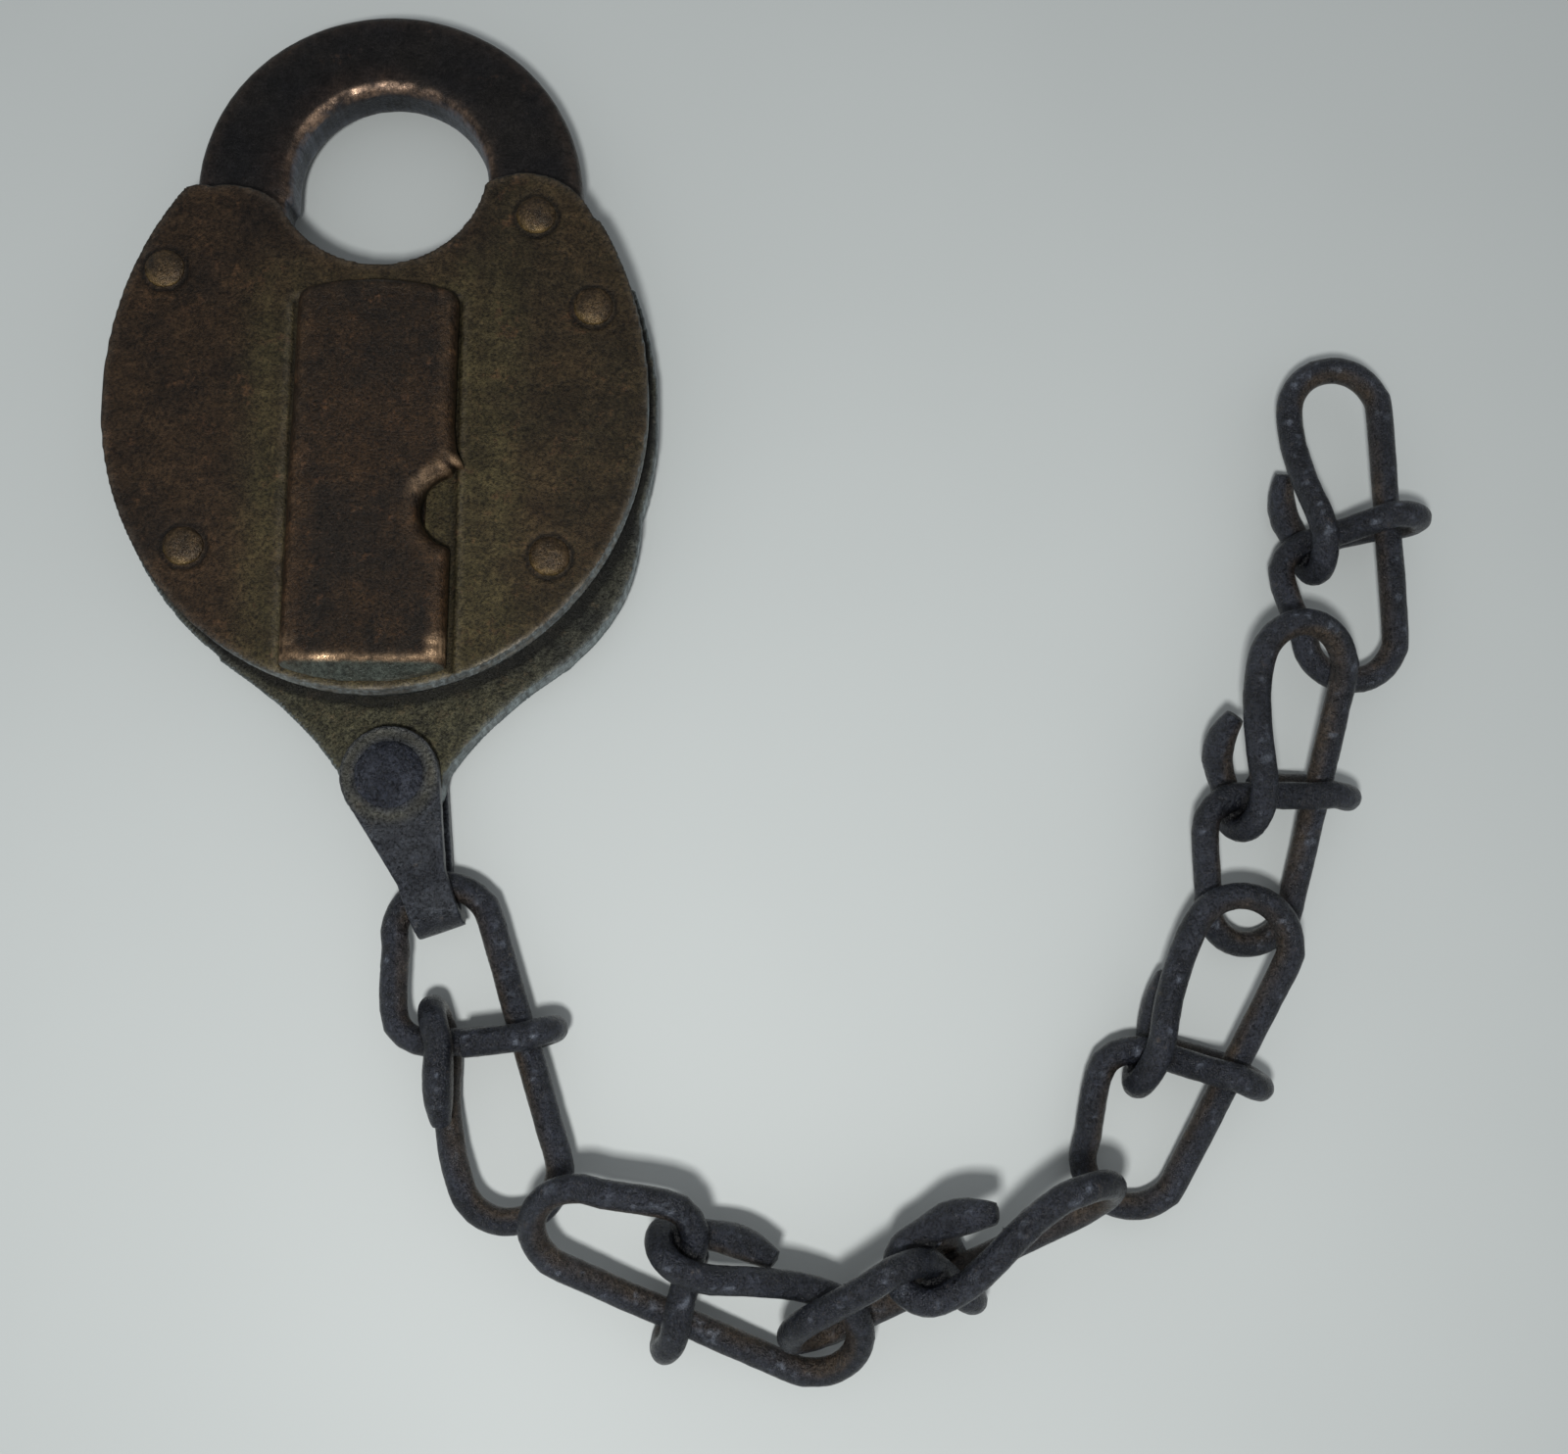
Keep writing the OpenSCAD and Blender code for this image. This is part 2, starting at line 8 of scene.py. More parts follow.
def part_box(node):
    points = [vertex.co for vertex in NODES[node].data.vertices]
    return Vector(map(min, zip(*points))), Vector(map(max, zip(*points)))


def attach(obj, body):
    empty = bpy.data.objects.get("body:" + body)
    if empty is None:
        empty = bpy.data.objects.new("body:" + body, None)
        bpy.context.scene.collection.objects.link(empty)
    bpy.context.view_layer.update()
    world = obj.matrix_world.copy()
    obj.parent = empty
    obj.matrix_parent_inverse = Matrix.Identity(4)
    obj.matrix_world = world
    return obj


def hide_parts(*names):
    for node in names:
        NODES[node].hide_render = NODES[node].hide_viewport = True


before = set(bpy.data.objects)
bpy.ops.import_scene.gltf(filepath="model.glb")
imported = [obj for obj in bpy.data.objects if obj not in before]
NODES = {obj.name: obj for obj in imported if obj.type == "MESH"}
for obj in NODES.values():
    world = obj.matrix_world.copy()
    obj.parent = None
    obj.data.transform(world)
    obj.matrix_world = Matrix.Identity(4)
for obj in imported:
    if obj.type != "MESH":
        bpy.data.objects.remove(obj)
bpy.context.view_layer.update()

MM = 0.001
LINKS = [f"link_{i}" for i in range(1, 7)]
RIVETS = ["case_rivet_1", "case_rivet_2", "case_rivet_3", "case_rivet_4", "shackle_rivet"]
BRASS_PARTS = ["bolt", "lever_1", "lever_2", "lever_3"]


def centre(node):
    """Middle of a CAD node's box, in millimetres."""
    low, high = (np.array(c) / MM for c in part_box(node))
    return (low + high) / 2


# ---------- Noise, in millimetres ----------

def hashed(cell, seed):
    """A fixed number from 0 to 1 for each whole-number cell."""
    h = cell[..., 0] * 374761393 + cell[..., 1] * 668265263 + cell[..., 2] * 1274126177
    h = h + seed * 982451653
    h = ((h ^ (h >> 13)) * 1103515245) & 0x7FFFFFFF
    return ((h ^ (h >> 15)) & 0xFFFF) / 65535.0


def noise(p, size, seed=0):
    """Smooth value noise from -1 to 1."""
    q = p / size
    base = np.floor(q).astype(np.int64)
    f = q - base
    f = f * f * (3 - 2 * f)
    total = np.zeros(len(p))
    for corner in itertools.product((0, 1), repeat=3):
        o = np.array(corner)
        total += np.where(o == 1, f, 1 - f).prod(axis=1) * hashed(base + o, seed)
    return 2 * total - 1


def fbm(p, size, seed=0, octaves=4):
    """Noise at several sizes, each half the one before."""
    parts = [noise(p, size / 2 ** k, seed + k) / 2 ** k for k in range(octaves)]
    return sum(parts) / (2 - 2 ** (1 - octaves))


def pits(p, cell, radius, seed=0, share=1.0):
    """Depth from 0 to 1 of round pits, at most one to a cell."""
    q = p / cell
    base = np.floor(q).astype(np.int64)
    depth = np.zeros(len(p))
    for step in itertools.product((-1, 0, 1), repeat=3):
        c = base + np.array(step)
        spot = c + 0.5 + 0.7 * (np.stack([hashed(c, seed + k) for k in range(3)], 1) - 0.5)
        r = radius / cell * (0.45 + 0.55 * hashed(c, seed + 7))
        d = np.clip(1 - np.linalg.norm(q - spot, axis=1) / r, 0, 1)
        depth = np.maximum(depth, np.where(hashed(c, seed + 9) < share, d, 0))
    return depth * depth * (3 - 2 * depth)


def smoothstep(x, low, high):
    t = np.clip((x - low) / (high - low), 0, 1)
    return t * t * (3 - 2 * t)


# ---------- Worn copies of CAD pieces ----------

RIDGE_ROUNDS = 8  # relaxing that finds ridges and hollows
FINE_ROUNDS = 3  # relaxing that finds pits and grains
NORMAL_ROUNDS = 6  # relaxing of the normals that the masks read
FINE_SCALE = 0.02  # height of a full-strength grain, in millimetres
PLAIN_RUB = 0.3  # rubbed share of the ridges of a piece with no rub mask


def copied(name, node):
    """A new object with a CAD node's mesh."""
    obj = bpy.data.objects.new(name, NODES[node].data.copy())
    bpy.context.scene.collection.objects.link(obj)
    return obj


def remeshed(obj, voxel):
    """Rebuilds the object's mesh on an even grid of that size, in millimetres."""
    step = obj.modifiers.new("grid", "REMESH")
    step.mode = "VOXEL"
    step.voxel_size = voxel * MM
    graph = bpy.context.evaluated_depsgraph_get()
    mesh = bpy.data.meshes.new_from_object(obj.evaluated_get(graph), depsgraph=graph)
    obj.modifiers.clear()
    obj.data = mesh
    return mesh


def points_of(mesh):
    p = np.empty(len(mesh.vertices) * 3)
    mesh.vertices.foreach_get("co", p)
    return p.reshape(-1, 3) / MM


def normals_of(mesh):
    n = np.empty(len(mesh.vertices) * 3)
    mesh.vertex_normals.foreach_get("vector", n)
    return n.reshape(-1, 3)


def put_points(mesh, p):
    mesh.vertices.foreach_set("co", (p * MM).ravel())
    mesh.update()


def edges_of(mesh):
    e = np.empty(len(mesh.edges) * 2, dtype=np.int32)
    mesh.edges.foreach_get("vertices", e)
    return e.reshape(-1, 2)


def relaxed(p, edges, rounds):
    """Points moved towards the mean of their neighbours, a number of times."""
    a, b = edges.T
    count = (np.bincount(a, minlength=len(p)) + np.bincount(b, minlength=len(p)))[:, None]
    for _ in range(rounds):
        total = np.stack([np.bincount(a, p[b, k], len(p)) + np.bincount(b, p[a, k], len(p))
                          for k in range(p.shape[1])], 1)
        p = p + 0.5 * (total / count - p)
    return p


def paint(mesh, name, values):
    """Stores a value for each point, for the materials to read."""
    layer = mesh.attributes.new(name, "FLOAT", "POINT")
    layer.data.foreach_set("value", values.astype(np.float32))


def worn(node, body, material, voxel, soften, relief, tint=None, rub_and_highlight=None, cut=None,
         painted_shade=None, deep=1.0, ridge=0.03):
    """A copy of a CAD node with softened edges and a weathered surface, which rides on body
    and stands for the node. relief(p, n) is how far each point moves out, in millimetres.
    tint and the masks after it say, from 0 to 1, where its second colour is, where its ridges
    are worn to metal, with painted highlights on some, where its sheared faces are, painted
    brighter as highlights on some sides, and where painted shadow falls; deep says how dark the
    painted shade in its hollows is."""
    obj = copied(node + "_worn", node)
    mesh = remeshed(obj, voxel)
    edges = edges_of(mesh)
    p = relaxed(points_of(mesh), edges, soften)
    put_points(mesh, p)
    n = normals_of(mesh)
    smooth_ridge = ((p - relaxed(p, edges, RIDGE_ROUNDS)) * n).sum(1)
    p = p + n * relief(p, n)[:, None]
    low, high = (np.array(c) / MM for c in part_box(node))
    p = np.clip(p, low, high)
    put_points(mesh, p)
    n = normals_of(mesh)
    fine = ((p - relaxed(p, edges, FINE_ROUNDS)) * n).sum(1)
    smooth_n = relaxed(n, edges, NORMAL_ROUNDS)
    smooth_n /= np.linalg.norm(smooth_n, axis=1)[:, None]
    # Worn ridges, which the masks also turn into painted highlights on the lit edges.
    wear_and_highlight = np.clip(smooth_ridge / ridge, 0, 1)
    paint(mesh, "wear_and_highlight", wear_and_highlight * (rub_and_highlight(p, smooth_n) if rub_and_highlight else PLAIN_RUB))
    # Painted shade: hollows darkened where shade falls, with any painted shadow mask on top.
    hollow = deep * np.clip(-smooth_ridge / ridge, 0, 1)
    paint(mesh, "hollow", np.maximum(hollow, painted_shade(p, smooth_n)) if painted_shade else hollow)
    # Painted shade and light on the fine relief: pits darker, grains lighter.
    paint(mesh, "bump", np.clip(0.5 + fine / FINE_SCALE, 0, 1))
    paint(mesh, "tint", tint(p, smooth_n) if tint else np.zeros(len(p)))
    # Sheared faces; the front plate's mask also paints the lit sides brighter as highlights.
    paint(mesh, "cut", cut(p, smooth_n) if cut else np.zeros(len(p)))
    mesh.polygons.foreach_set("use_smooth", np.ones(len(mesh.polygons), dtype=bool))
    mesh.materials.clear()
    mesh.materials.append(material)
    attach(obj, body)
    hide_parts(node)
    return obj


# ---------- Materials ----------

def linear(*rgb):
    """Colour from 0 to 255 values to a linear one for the shader."""
    part = [c / 255 for c in rgb]
    part = [c / 12.92 if c <= 0.04045 else ((c + 0.055) / 1.055) ** 2.4 for c in part]
    return (*part, 1.0)


class Maker:
    """Short calls that add nodes to one material."""

    def __init__(self, name):
        self.material = bpy.data.materials.new(name)
        self.material.use_nodes = True
        self.tree = self.material.node_tree
        self.tree.nodes.clear()
        self.place = self.add("ShaderNodeTexCoord").outputs["Object"]

    def add(self, kind, inputs=(), **settings):
        made = self.tree.nodes.new(kind)
        for key, value in settings.items():
            setattr(made, key, value)
        for key, value in dict(inputs).items():
            if isinstance(value, bpy.types.NodeSocket):
                self.tree.links.new(value, made.inputs[key])
            else:
                made.inputs[key].default_value = value
        return made

    def noise(self, size, detail=4, rough=0.55, stretch=(1, 1, 1)):
        """Noise whose main features are size millimetres across."""
        spot = self.place
        if stretch != (1, 1, 1):
            spot = self.add("ShaderNodeMapping", {"Vector": spot, "Scale": stretch}).outputs[0]
        made = self.add("ShaderNodeTexNoise", {"Vector": spot, "Scale": 1 / (size * MM),
                                               "Detail": detail, "Roughness": rough})
        return made.outputs["Fac"]

    def painted(self, name):
        return self.add("ShaderNodeAttribute", attribute_name=name).outputs["Fac"]

    def math(self, operation, a, b=0.0, clamp=False):
        return self.add("ShaderNodeMath", {0: a, 1: b}, operation=operation,
                        use_clamp=clamp).outputs[0]

    def ramp(self, value, low, high, out_low=0.0, out_high=1.0):
        made = self.add("ShaderNodeMapRange", {"Value": value, "From Min": low, "From Max": high,
                                               "To Min": out_low, "To Max": out_high})
        made.interpolation_type = "SMOOTHSTEP"
        return made.outputs["Result"]

    def mix(self, share, a, b, blend="MIX"):
        made = self.add("ShaderNodeMix", data_type="RGBA", blend_type=blend)
        for key, value in ((0, share), (6, a), (7, b)):
            if isinstance(value, bpy.types.NodeSocket):
                self.tree.links.new(value, made.inputs[key])
            else:
                made.inputs[key].default_value = value
        return made.outputs[2]

    def shaded(self, colour, level):
        """The colour times a level."""
        grey = self.add("ShaderNodeCombineColor", {0: level, 1: level, 2: level}).outputs[0]
        return self.mix(1.0, colour, grey, "MULTIPLY")

    def finish(self, colour, rough, metal, height=None, depth=0.03, gloss=0.5):
        shader = self.add("ShaderNodeBsdfPrincipled", {"Base Color": colour, "Roughness": rough,
                                                       "Metallic": metal,
                                                       "Specular IOR Level": gloss})
        if height is not None:
            bump = self.add("ShaderNodeBump", {"Height": height, "Distance": depth * MM,
                                               "Strength": 1.0})
            self.tree.links.new(bump.outputs[0], shader.inputs["Normal"])
        out = self.add("ShaderNodeOutputMaterial")
        self.tree.links.new(shader.outputs[0], out.inputs["Surface"])
        return self.material


def weathered(name, dark, mid, rust, bare_and_highlight, tinted=None, cut=None, patch=9.0, metal=0.45,
              rough=0.5, speckle=0.6, grain=0.3, rust_share=0.4, bump=0.05, gloss=0.25):
    """Old iron: patches of two patinas, freckled with rust, painted with shade in its hollows and
    pits and with light on its grains, worn to metal on its ridges, which the masks also use for
    painted highlights, and striped on its sheared faces."""
    m = Maker(name)
    broad = m.noise(patch, 5, 0.6)
    second = m.noise(patch * 0.4, 6, 0.7)
    freckle = m.noise(grain * 3.2, 4, 0.7)
    fine = m.noise(grain, 3, 0.7)
    finest = m.noise(grain * 0.4, 2, 0.6)
    colour = m.mix(m.ramp(broad, 0.36, 0.64), dark, mid)
    if tinted is not None:
        share = m.math("MULTIPLY", m.painted("tint"), m.ramp(second, 0.3, 0.6, 0.45, 1.0))
        colour = m.mix(share, colour, tinted)
    rusty = m.ramp(m.math("ADD", m.math("MULTIPLY", second, 0.6),
                          m.math("MULTIPLY", freckle, 0.4)),
                   0.60 - 0.16 * rust_share, 0.70 - 0.14 * rust_share)
    colour = m.mix(m.math("MULTIPLY", rusty, 0.7), colour, rust)
    grit = m.ramp(fine, 0.3, 0.7, 1 - speckle, 1 + speckle)
    freckles = m.ramp(freckle, 0.3, 0.7, 0.75, 1.25)
    mottles = m.ramp(m.noise(patch * 0.28, 3, 0.6), 0.35, 0.65, 0.8, 1.2)
    grit = m.math("MULTIPLY", m.math("MULTIPLY", grit, freckles), mottles)
    colour = m.shaded(colour, grit)
    # Striped sheared faces, which on the front plate are also a painted highlight on the lit
    # sides.
    if cut is not None:
        stripes = m.noise(0.5, 4, 0.7, stretch=(1, 1, 0.07))
        striped = m.shaded(cut, m.ramp(stripes, 0.3, 0.7, 0.45, 1.5))
        colour = m.mix(m.math("MULTIPLY", m.painted("cut"), m.ramp(second, 0.3, 0.6, 0.6, 1.0)),
                       colour, striped)
    # Painted shade: hollows darkened towards a third of the dark colour.
    hollow = m.math("MULTIPLY", m.painted("hollow"), 0.7)
    colour = m.mix(hollow, colour, tuple(0.3 * c for c in dark[:3]) + (1.0,))
    # Painted shade and light on the fine relief: pits darker, grains lighter.
    colour = m.shaded(colour, m.ramp(m.painted("bump"), 0.2, 0.65, 0.6, 1.12))
    # Worn metal on the ridges, which is also a painted highlight where the masks place it.
    rubbed_and_highlighted = m.math("MULTIPLY", m.painted("wear_and_highlight"), m.ramp(freckle, 0.35, 0.62, 0.25, 1.0))
    colour = m.mix(rubbed_and_highlighted, colour, bare_and_highlight)
    roughness = m.math("ADD", m.ramp(fine, 0.25, 0.75, rough - 0.1, rough + 0.14),
                       m.math("MULTIPLY", rubbed_and_highlighted, -0.2))
    metallic = m.math("ADD", m.ramp(rusty, 0.0, 1.0, metal, metal * 0.5),
                      m.math("MULTIPLY", rubbed_and_highlighted, 0.4), clamp=True)
    height = m.math("ADD", m.math("MULTIPLY", freckle, 1.2),
                    m.math("ADD", fine, m.math("MULTIPLY", finest, 0.5)))
    height = m.math("MULTIPLY", height, m.ramp(m.painted("wear_and_highlight"), 0.0, 0.8, 1.0, 0.3))
    return m.finish(colour, roughness, metallic, height, bump, gloss)


# The fourth colour of each is its worn metal, also used as a painted highlight; the front plate's
# sixth colour is also a painted highlight on its lit sides.
IRON_PLATE = weathered("plate_iron", linear(30, 23, 17), linear(48, 36, 24), linear(60, 40, 23),
                       linear(130, 124, 114), linear(62, 56, 36), linear(118, 126, 128),
                       patch=10, speckle=0.7, bump=0.1)
IRON_FRAME = weathered("frame_iron", linear(36, 37, 34), linear(52, 52, 44), linear(60, 50, 35),
                       linear(130, 136, 136), linear(60, 58, 43), linear(118, 128, 130),
                       patch=6, speckle=0.7, rough=0.4, bump=0.12)
IRON_BACK = weathered("back_iron", linear(36, 31, 26), linear(50, 42, 33), linear(70, 46, 30),
                      linear(110, 106, 98), None, linear(110, 114, 112), patch=11, bump=0.18)
IRON_BOW = weathered("bow_iron", linear(18, 18, 20), linear(26, 24, 23), linear(42, 30, 23),
                     linear(184, 154, 130), linear(44, 32, 25), linear(84, 90, 100), patch=9,
                     rough=0.38, rust_share=0.15, speckle=0.5, bump=0.09, gloss=0.22)
IRON_COVER = weathered("cover_iron", linear(27, 21, 15), linear(42, 30, 18), linear(60, 39, 20),
                       linear(206, 172, 136), linear(60, 42, 25), linear(66, 72, 66), patch=7,
                       rough=0.36, speckle=0.7, grain=0.34, bump=0.16, gloss=0.3)
IRON_STRAP = weathered("strap_iron", linear(38, 41, 47), linear(50, 53, 58), linear(58, 52, 44),
                       linear(112, 120, 132), linear(66, 66, 60), linear(40, 42, 48), patch=5,
                       rough=0.3, rust_share=0.2, speckle=0.6, grain=0.36, bump=0.2, gloss=0.35)
IRON_RIVET = weathered("hanger_rivet_iron", linear(30, 33, 41), linear(43, 46, 54),
                       linear(52, 47, 41), linear(112, 120, 132), None, None, patch=3,
                       rough=0.28, rust_share=0.15, grain=0.36, bump=0.22, gloss=0.35)
IRON_CHAIN = weathered("chain_iron", linear(16, 19, 26), linear(29, 32, 40), linear(46, 39, 31),
                       linear(150, 160, 176), linear(54, 45, 35), None, patch=6, metal=0.3,
                       rough=0.27, rust_share=0.25, grain=0.34, bump=0.2, gloss=0.4)
BRASS_RIVET = weathered("rivet_brass", linear(44, 35, 25), linear(64, 51, 34),
                        linear(58, 42, 27), linear(190, 160, 104), None, None, patch=1.8,
                        rough=0.3, grain=0.3, bump=0.1, gloss=0.35)
BRASS_WORKS = weathered("works_brass", linear(120, 98, 54), linear(138, 112, 62),
                        linear(96, 70, 40), linear(180, 150, 90), patch=4, metal=0.8, rough=0.4)
STEEL_WORKS = weathered("works_steel", linear(96, 94, 90), linear(112, 108, 102),
                        linear(96, 68, 46), linear(170, 170, 168), patch=3, metal=0.8, rough=0.4)

# ---------- Pieces ----------

rivet_centres = [centre(n)[:2] for n in RIVETS]
BOW_EYE = np.array([0.0, 27.6])  # centre of the bow's hole
NOTCH = np.array([9.4, -13.4])  # centre of the notch in the cover
COVER_ARC = 29  # radius of the cover's top edge
RIM_BEVEL = 1.0  # how far the front plate's outer rim is filed back
HEAD_R = 2.4  # a rivet head's radius
HEAD_H = 0.78  # a rivet head's height
RIVET_RING_R = 2.5  # radius of the groove beaten round a rivet head
STRAP_RING_R = 4.6  # radius of the paler ring round the hanger rivet
plate_low, plate_high = (np.array(c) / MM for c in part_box("front_plate"))
cover_low, cover_high = (np.array(c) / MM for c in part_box("keyhole_cover"))


def rivet_rings(p, n, width=0.22):
    """Groove beaten round each rivet head, on the faces that look up; it also places the painted
    shade round the heads.
    """
    ring = np.zeros(len(p))
    for c in rivet_centres:
        r = np.linalg.norm(p[:, :2] - c, axis=1)
        ring = np.maximum(ring, np.exp(-((r - RIVET_RING_R) / width) ** 2))
    return ring * smoothstep(n[:, 2], 0.5, 0.9)


def sheared(p, n, seed):
    """Tear marks that run down a sheared edge."""
    side = 1 - smoothstep(np.abs(n[:, 2]), 0.2, 0.7)
    along = np.stack([p[:, 0], p[:, 1], p[:, 2] * 0.08], 1)
    return side * (0.05 * noise(along, 0.55, seed) + 0.04 * noise(along, 1.6, seed + 3) - 0.05)


def plate_relief(p, n):
    rim = np.stack([p[:, 0], p[:, 1], p[:, 2] * 0.3], 1)
    side = 1 - smoothstep(np.abs(n[:, 2]), 0.3, 0.8)
    outer = smoothstep(np.hypot(p[:, 0] / 30, p[:, 1] / 34), 0.86, 0.92)
    height = np.clip((p[:, 2] - plate_high[2] + 3.2) / 3.2, 0, 1)
    d = 0.045 * fbm(p, 9, 1) + 0.02 * fbm(p, 1.6, 5) - 0.04
    d -= 0.06 * pits(p, 2.6, 0.55, 11, 0.5) + 0.03 * pits(p, 0.9, 0.3, 21, 0.6)
    d += side * (0.12 * fbm(rim, 6, 31) - 0.1) + sheared(p, n, 41)
    d -= RIM_BEVEL * side * outer * height
    return d - 0.16 * rivet_rings(p, n)


def plate_painted_shadow(p, n):
    """Painted shadow against the cover's top edge and painted shade round the rivet heads."""
    # Painted shadow that the cover's top edge casts on the plate.
    arc = np.linalg.norm(p[:, :2] - (0, cover_high[1] - COVER_ARC), axis=1) - COVER_ARC
    over = np.exp(-((arc - 0.2) / 0.35) ** 2) * smoothstep(np.abs(p[:, 0]), 9.6, 8.8)
    # Painted shade round the rivet heads.
    ring = 0.95 * rivet_rings(p, n)
    return np.maximum(0.9 * over * smoothstep(p[:, 1], 9, 10.5), ring)


def plate_tint(p, n):
    """Brassy zones on both sides of the cover's channel, and a greyer right half."""
    left = np.exp(-((p[:, 0] - cover_low[0] + 2.2) / 2.8) ** 2)
    right = np.exp(-((p[:, 0] - cover_high[0] - 1.5) / 3.6) ** 2)
    low = smoothstep(p[:, 1], 20, 8)
    floor = smoothstep(p[:, 0], cover_low[0] - 1, cover_low[0]) * smoothstep(
        p[:, 0], cover_high[0] + 1, cover_high[0])
    shade = 0.35 * smoothstep(p[:, 0], 8, 14)
    return np.clip((left + right + floor) * low + shade, 0, 1) * np.clip(
        0.85 + 0.6 * fbm(p, 5, 71), 0, 1)


def side_faces(p, n):
    """Faces that stand upright, where the metal was sheared."""
    return 1 - smoothstep(np.abs(n[:, 2]), 0.45, 0.8)


def low_edges(p, n):
    """Edges that look down or to the right: wear, with painted highlights on this lit side."""
    facing = np.clip(0.75 * -n[:, 1] + 0.55 * n[:, 0], 0, 1)
    return smoothstep(facing, 0.1, 0.6) * np.clip(0.55 + 0.9 * fbm(p, 2.5, 81), 0, 1)


def low_sides(p, n):
    """Upright faces, painted bright as highlights where they look down or to the right, the lit
    side.
    """
    facing = np.clip(0.75 * -n[:, 1] + 0.55 * n[:, 0], 0, 1)
    return side_faces(p, n) * (0.15 + 0.85 * smoothstep(facing, 0.1, 0.5))


# Worn ridges, with painted highlights on the edges that look down or to the right.
def plate_rub_and_highlight(p, n):
    outside = np.linalg.norm(p[:, :2] / np.array([1.0, 1.1]), axis=1)
    return 0.12 + 0.6 * low_edges(p, n) * smoothstep(outside, 22, 27)


# Worn ridges, with painted highlights on the edges that look down or to the right.
def frame_rub_and_highlight(p, n):
    return 0.05 + 0.4 * low_edges(p, n)


# Worn ridges, with painted highlights on the edges that look down or to the right.
def strap_rub_and_highlight(p, n):
    return 0.04 + 0.2 * low_edges(p, n)


def chain_polish_and_glint(p, n):
    """Small polished spots on the wires' upper sides, bright as painted glints."""
    return 0.02 + 0.3 * smoothstep(fbm(p, 0.9, 791), 0.2, 0.6) * smoothstep(n[:, 2], 0.6, 0.97)


def cover_rub_and_highlight(p, n):
    """Coppery worn metal with painted highlights, strongest along the bottom and round the upper
    side of the notch.
    """
    bottom = smoothstep(p[:, 1], cover_low[1] + 5.5, cover_low[1] + 3.5) * smoothstep(
        p[:, 1], cover_low[1] + 1.6, cover_low[1] + 2.6)
    notch = np.exp(-((np.linalg.norm(p[:, :2] - NOTCH, axis=1) - 5) / 1.2) ** 2)
    upper = smoothstep(p[:, 1], NOTCH[1] + 1, NOTCH[1] + 3)
    broken = np.clip(0.6 + 0.9 * fbm(p, 2.0, 91), 0, 1)
    return (0.05 + 0.95 * bottom + 0.45 * notch * upper) * broken


def cover_tint(p, n):
    """Warm worn colour along both long edges of the cover."""
    mid = (cover_low[0] + cover_high[0]) / 2
    edge = smoothstep(np.abs(p[:, 0] - mid), 5.4, 8.6)
    lower = 0.45 + 0.55 * smoothstep(p[:, 1], 2, -10)
    middle = 0.5 * np.exp(-(((p[:, 0] - mid) / 5) ** 2 + ((p[:, 1] + 6) / 7) ** 2))
    return np.clip((edge * lower + middle) * np.clip(0.55 + 1.0 * fbm(p, 3.5, 95), 0, 1), 0, 1)


def cover_cut(p, n):
    """The slanted face at the foot of the cover."""
    return smoothstep(-n[:, 1], 0.45, 0.75) * smoothstep(
        p[:, 1], cover_low[1] + 4.5, cover_low[1] + 3.0)


def bow_rub_and_highlight(p, n):
    """Coppery worn metal on the bow's inner rim, with a painted highlight strongest on the upper
    left.
    """
    at = p[:, :2] - BOW_EYE
    r = np.linalg.norm(at, axis=1)
    turn = np.degrees(np.arctan2(at[:, 1], at[:, 0]))
    place = 0.25 + 0.75 * smoothstep(turn, 60, 95) * smoothstep(turn, 175, 140)
    rim = smoothstep(n[:, 2], 0.15, 0.35) * smoothstep(n[:, 2], 0.99, 0.9)
    rim = rim * smoothstep(r, 15.5, 13.5)
    return 0.04 + 0.85 * rim * place * np.clip(0.6 + 1.1 * fbm(p, 1.5, 381), 0, 1)


def bow_cut(p, n):
    """The bow's inner wall, dragged bright by hasps."""
    r = np.linalg.norm(p[:, :2] - BOW_EYE, axis=1)
    turn = np.degrees(np.arctan2(p[:, 1] - BOW_EYE[1], p[:, 0]))
    top = np.exp(-((turn - 98) / 42) ** 4)
    low = smoothstep(p[:, 2], 9, 3)
    return 0.8 * side_faces(p, n) * smoothstep(r, 14.5, 12.5) * smoothstep(p[:, 1], 12, 18) * (
        1 - 0.85 * top * (1 - 0.5 * low))


def rivet_painted_highlight(p, n):
    """Painted highlight: bright brass on the lower left side of each head."""
    facing = np.clip(-0.85 * n[:, 1] - 0.4 * n[:, 0], 0, 1)
    return 0.05 + 0.95 * smoothstep(facing, 0.15, 0.5) * np.clip(0.7 + fbm(p, 1.2, 621), 0, 1)


def strap_tint(p, n):
    """Paler ring round the hanger rivet."""
    r = np.linalg.norm(p[:, :2] - centre("hanger_rivet")[:2], axis=1)
    return np.exp(-((r - STRAP_RING_R) / 0.7) ** 2) * smoothstep(n[:, 2], 0.4, 0.9)


def frame_relief(p, n):
    d = 0.05 * fbm(p, 5, 101) + 0.03 * fbm(p, 1.2, 105) - 0.06
    d -= 0.08 * pits(p, 1.8, 0.5, 111, 0.6) + 0.03 * pits(p, 0.7, 0.25, 121, 0.6)
    rim = np.stack([p[:, 0], p[:, 1], p[:, 2] * 0.5], 1)
    side = 1 - smoothstep(np.abs(n[:, 2]), 0.3, 0.8)
    return d + side * (0.22 * fbm(rim, 3.5, 131) - 0.16) + sheared(p, n, 141)


def frame_tint(p, n):
    return smoothstep(p[:, 1], -26, -36) * smoothstep(n[:, 2], 0.3, 0.9)


def back_relief(p, n):
    d = 0.05 * fbm(p, 10, 201) + 0.03 * fbm(p, 2, 205) - 0.05
    return d - 0.07 * pits(p, 2.4, 0.6, 211, 0.6) + sheared(p, n, 241)


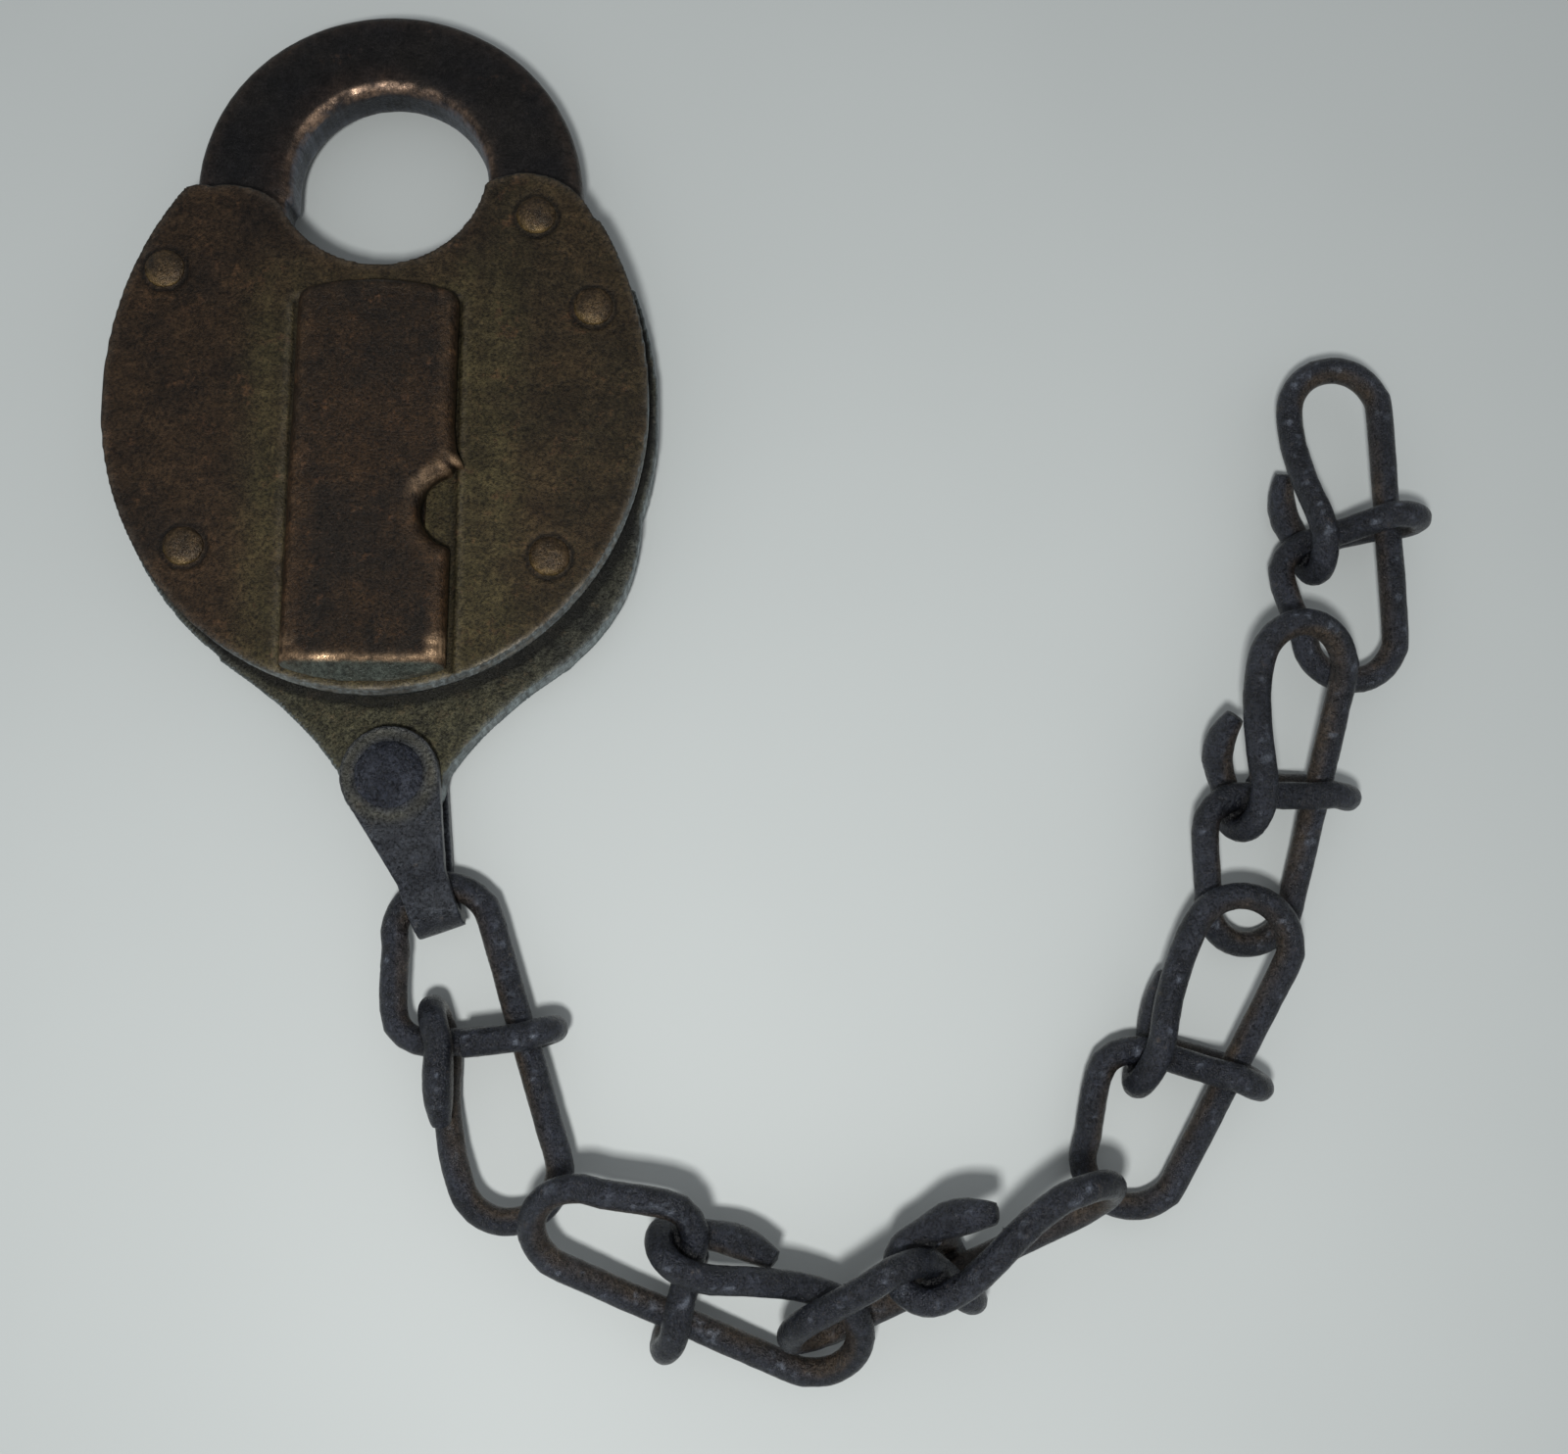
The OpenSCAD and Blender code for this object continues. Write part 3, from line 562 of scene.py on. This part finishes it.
def bow_relief(p, n):
    d = 0.06 * fbm(p, 8, 301) + 0.025 * fbm(p, 1.5, 305) - 0.05
    return d - 0.05 * pits(p, 2.0, 0.5, 311, 0.5) - 0.02 * pits(p, 0.8, 0.28, 321, 0.6)


def bow_tint(p, n):
    """Brown stain along the inner edge of the bow's left half."""
    r = np.linalg.norm(p[:, :2] - BOW_EYE, axis=1)
    return 0.7 * np.exp(-((r - 13) / 1.6) ** 2) * smoothstep(n[:, 2], 0.1, 0.7) * smoothstep(
        p[:, 0], 4, -3) * np.clip(0.6 + fbm(p, 4, 371), 0, 1)


def cover_relief(p, n):
    d = 0.07 * fbm(p, 11, 401) + 0.03 * fbm(p, 1.4, 405) - 0.05
    low = 0.4 + 0.6 * smoothstep(p[:, 1], 0, -12)
    return d - 0.05 * pits(p, 1.7, 0.45, 411, 0.5) - 0.05 * low * pits(p, 0.8, 0.32, 421, 0.8)


def strap_relief(p, n):
    d = 0.05 * fbm(p, 5, 501) + 0.03 * fbm(p, 1.2, 505) - 0.05
    return d - 0.06 * pits(p, 1.2, 0.4, 511, 0.7)


def rivet_relief(p, n):
    """A flat-topped head with steep, uneven sides."""
    at = (p[:, :2, None] - np.array(rivet_centres).T[None]).transpose(0, 2, 1)
    r = np.linalg.norm(at, axis=2).min(axis=1) / HEAD_R
    head = smoothstep(p[:, 2], plate_high[2], plate_high[2] + 0.1)
    top = plate_high[2] + HEAD_H * np.clip(1 - r ** 3.5, 0, 1)
    d = 0.12 * fbm(p, 2.2, 601) + 0.03 * fbm(p, 0.7, 605) - 0.05
    return d - 0.05 * pits(p, 0.9, 0.3, 611, 0.5) + head * (top - p[:, 2]) * n[:, 2]


def hanger_rivet_relief(p, n):
    return 0.08 * fbm(p, 3, 651) + 0.03 * fbm(p, 0.9, 655) - 0.06 - 0.05 * pits(p, 1.0, 0.35, 661)


def chain_relief(p, n):
    d = 0.09 * fbm(p, 4.5, 701, 3) + 0.04 * fbm(p, 1.1, 711, 3) - 0.09
    return d - 0.09 * pits(p, 1.5, 0.45, 721, 0.7) - 0.04 * pits(p, 0.6, 0.22, 731, 0.7)


def link_tint(node):
    """Brown rust on the inner sides of a link."""
    middle = centre(node)

    def tint(p, n):
        inward = ((middle - p) * n).sum(1) / np.linalg.norm(middle - p, axis=1)
        return smoothstep(inward, -0.15, 0.45) * np.clip(0.8 + 0.8 * fbm(p, 4, 761), 0, 1)
    return tint


worn("front_plate", "case", IRON_PLATE, 0.32, 3, plate_relief, plate_tint,
     plate_rub_and_highlight, low_sides, plate_painted_shadow, 0.25)
worn("body_frame", "case", IRON_FRAME, 0.36, 2, frame_relief, frame_tint, frame_rub_and_highlight,
     side_faces)
worn("back_plate", "case", IRON_BACK, 0.44, 2, back_relief, cut=side_faces)
worn("shackle", "shackle", IRON_BOW, 0.3, 4, bow_relief, bow_tint, bow_rub_and_highlight, bow_cut)
worn("keyhole_cover", "cover", IRON_COVER, 0.22, 5, cover_relief, cover_tint,
     cover_rub_and_highlight, cover_cut)
worn("hanger_strap", "hanger", IRON_STRAP, 0.2, 4, strap_relief, strap_tint,
     strap_rub_and_highlight, side_faces)
worn("hanger_rivet", "case", IRON_RIVET, 0.2, 3, hanger_rivet_relief,
     rub_and_highlight=strap_rub_and_highlight)
for node in RIVETS:
    worn(node, "case", BRASS_RIVET, 0.14, 3, rivet_relief, rub_and_highlight=rivet_painted_highlight)
for node in LINKS:
    worn(node, node, IRON_CHAIN, 0.26, 4, chain_relief, link_tint(node), chain_polish_and_glint)

for node, obj in NODES.items():
    metal = BRASS_WORKS if node in BRASS_PARTS else STEEL_WORKS
    if node not in RIVETS and node not in LINKS:
        for s in obj.material_slots:
            s.material = metal

# ---------- Floor, light and camera ----------

FLOOR_SIZE = 2.0  # metres
FLOOR_COLOURS = linear(184, 190, 190), linear(191, 197, 197)
FLOOR_PATCH = 60  # millimetres
FLOOR_ROUGH = 0.6
SKY_COLOUR = (0.96, 0.98, 1.0, 1.0)
SKY_STRENGTH = 0.38
KEY_PLACE = (0.018, -0.12, 0.265)  # metres
KEY_AIM = (0.035, -0.03, 0)
KEY_SIZE = 0.024
KEY_POWER = 0.58  # watts
KEY_COLOUR = (1.0, 0.985, 0.96)
CAMERA_PLACE = Vector((35.67, -70.10, 200.8)) * MM
CAMERA_BACK = Vector((84, 322, 1818))  # direction from what is seen to the camera
SENSOR = 36
LENS = 1818 / 1600 * SENSOR
NEAR_CLIP = 0.01

bpy.ops.mesh.primitive_grid_add(x_subdivisions=2, y_subdivisions=2, size=FLOOR_SIZE)
floor = bpy.context.object
floor.name = "floor"
floor_paint = Maker("floor_paint")
floor.data.materials.append(floor_paint.finish(
    floor_paint.mix(floor_paint.noise(FLOOR_PATCH, 2), *FLOOR_COLOURS), FLOOR_ROUGH, 0.0))

scene = bpy.context.scene
world = scene.world or bpy.data.worlds.new("studio")
scene.world = world
world.use_nodes = True
sky = world.node_tree.nodes["Background"]
sky.inputs["Color"].default_value = SKY_COLOUR
sky.inputs["Strength"].default_value = SKY_STRENGTH


def lamp(name, place, aim, size, power, colour):
    """A square soft light at place that looks at aim, in metres and watts."""
    data = bpy.data.lights.new(name, "AREA")
    data.size = size
    data.energy = power
    data.color = colour
    obj = bpy.data.objects.new(name, data)
    obj.location = place
    obj.rotation_euler = (Vector(aim) - Vector(place)).to_track_quat("-Z", "Y").to_euler()
    scene.collection.objects.link(obj)


lamp("key", KEY_PLACE, KEY_AIM, KEY_SIZE, KEY_POWER, KEY_COLOUR)

z_seen = CAMERA_BACK.normalized()
y_seen = (Vector((0, 1, 0)) - z_seen * z_seen.y).normalized()
x_seen = y_seen.cross(z_seen)
facing = Matrix((x_seen, y_seen, z_seen)).to_4x4()
view = bpy.data.cameras.new("camera")
view.lens = LENS
view.sensor_width = SENSOR
view.clip_start = NEAR_CLIP
camera = bpy.data.objects.new("camera", view)
camera.matrix_world = Matrix.Translation(CAMERA_PLACE) @ facing
scene.collection.objects.link(camera)
scene.camera = camera
scene.view_settings.view_transform = "Standard"
